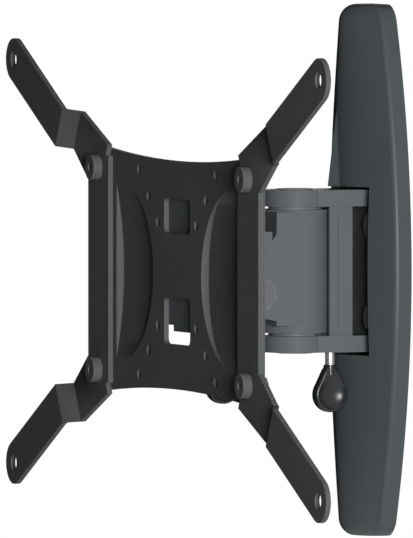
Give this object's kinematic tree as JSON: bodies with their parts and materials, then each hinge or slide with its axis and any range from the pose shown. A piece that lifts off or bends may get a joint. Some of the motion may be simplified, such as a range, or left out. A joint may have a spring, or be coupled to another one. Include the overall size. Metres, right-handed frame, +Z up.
{
  "type": "tilt and swivel television wall mount",
  "caption": "Wall mount for a flat television: covered wall plate, forked bracket with a swivel barrel, tilt head, and a drilled plate with four bent arms.",
  "frame": {"origin": "centre of the wall screw pattern, on the wall plate's back face, in the wall's plane", "axes": "+X to the right as seen when facing the television plate, +Y into the wall, -Y towards the television, +Z up"},
  "size_m": [0.421, 0.1143, 0.259],
  "materials": {
    "black_steel": "satin black powder coat",
    "grey_casting": "satin graphite powder coat",
    "cover_plastic": "fine-grained charcoal moulding",
    "dark_steel": "blackened fastener",
    "bright_steel": "turned steel",
    "nylon": "grey nylon",
    "rubber_pad": "matt",
    "grip_plastic": "glossy black moulding"
  },
  "bodies": {
    "wall": {"wall_plate": "black_steel", "wall_bracket": "grey_casting", "foot_bolts": "dark_steel", "cover": "cover_plastic", "stop_channel": "grey_casting", "channel_screws": "dark_steel", "swivel_pin": "dark_steel", "pin_nut": "dark_steel", "brake_pad": "rubber_pad"},
    "head": {"swivel_barrel": "grey_casting", "upper_bush": "nylon", "lower_bush": "nylon"},
    "screen": {"tilt_bracket": "grey_casting", "tilt_bolt": "dark_steel", "tilt_nut": "dark_steel", "tilt_washers": "nylon", "tv_plate": "black_steel", "plate_rivets": "black_steel", "left_wing": "black_steel", "right_wing": "black_steel", "wing_bolts": "dark_steel", "wing_nuts": "dark_steel"},
    "swivel_lock": {"swivel_lock_screw": "bright_steel", "swivel_lock_grip": "grip_plastic"},
    "tilt_lock": {"tilt_lock_screw": "bright_steel", "tilt_lock_grip": "grip_plastic"}
  },
  "joints": [
    {"name": "swivel", "type": "hinge", "parent": "wall", "child": "head", "pos_m": [0, -0.045, 0], "axis": [0, 0, 1], "range_deg": [-20, 20]},
    {"name": "tilt", "type": "hinge", "parent": "head", "child": "screen", "pos_m": [0, -0.073, -0.01], "axis": [1, 0, 0], "range_deg": [-5, 15]},
    {"name": "swivel_lock_turn", "type": "hinge", "parent": "wall", "child": "swivel_lock", "pos_m": [0.011, -0.031, -0.045], "axis": [0, 0, -1], "range_deg": [0, 90]},
    {"name": "tilt_lock_turn", "type": "hinge", "parent": "screen", "child": "tilt_lock", "pos_m": [0, -0.083, -0.041], "axis": [0, 0, -1], "range_deg": [0, 90]}
  ]
}
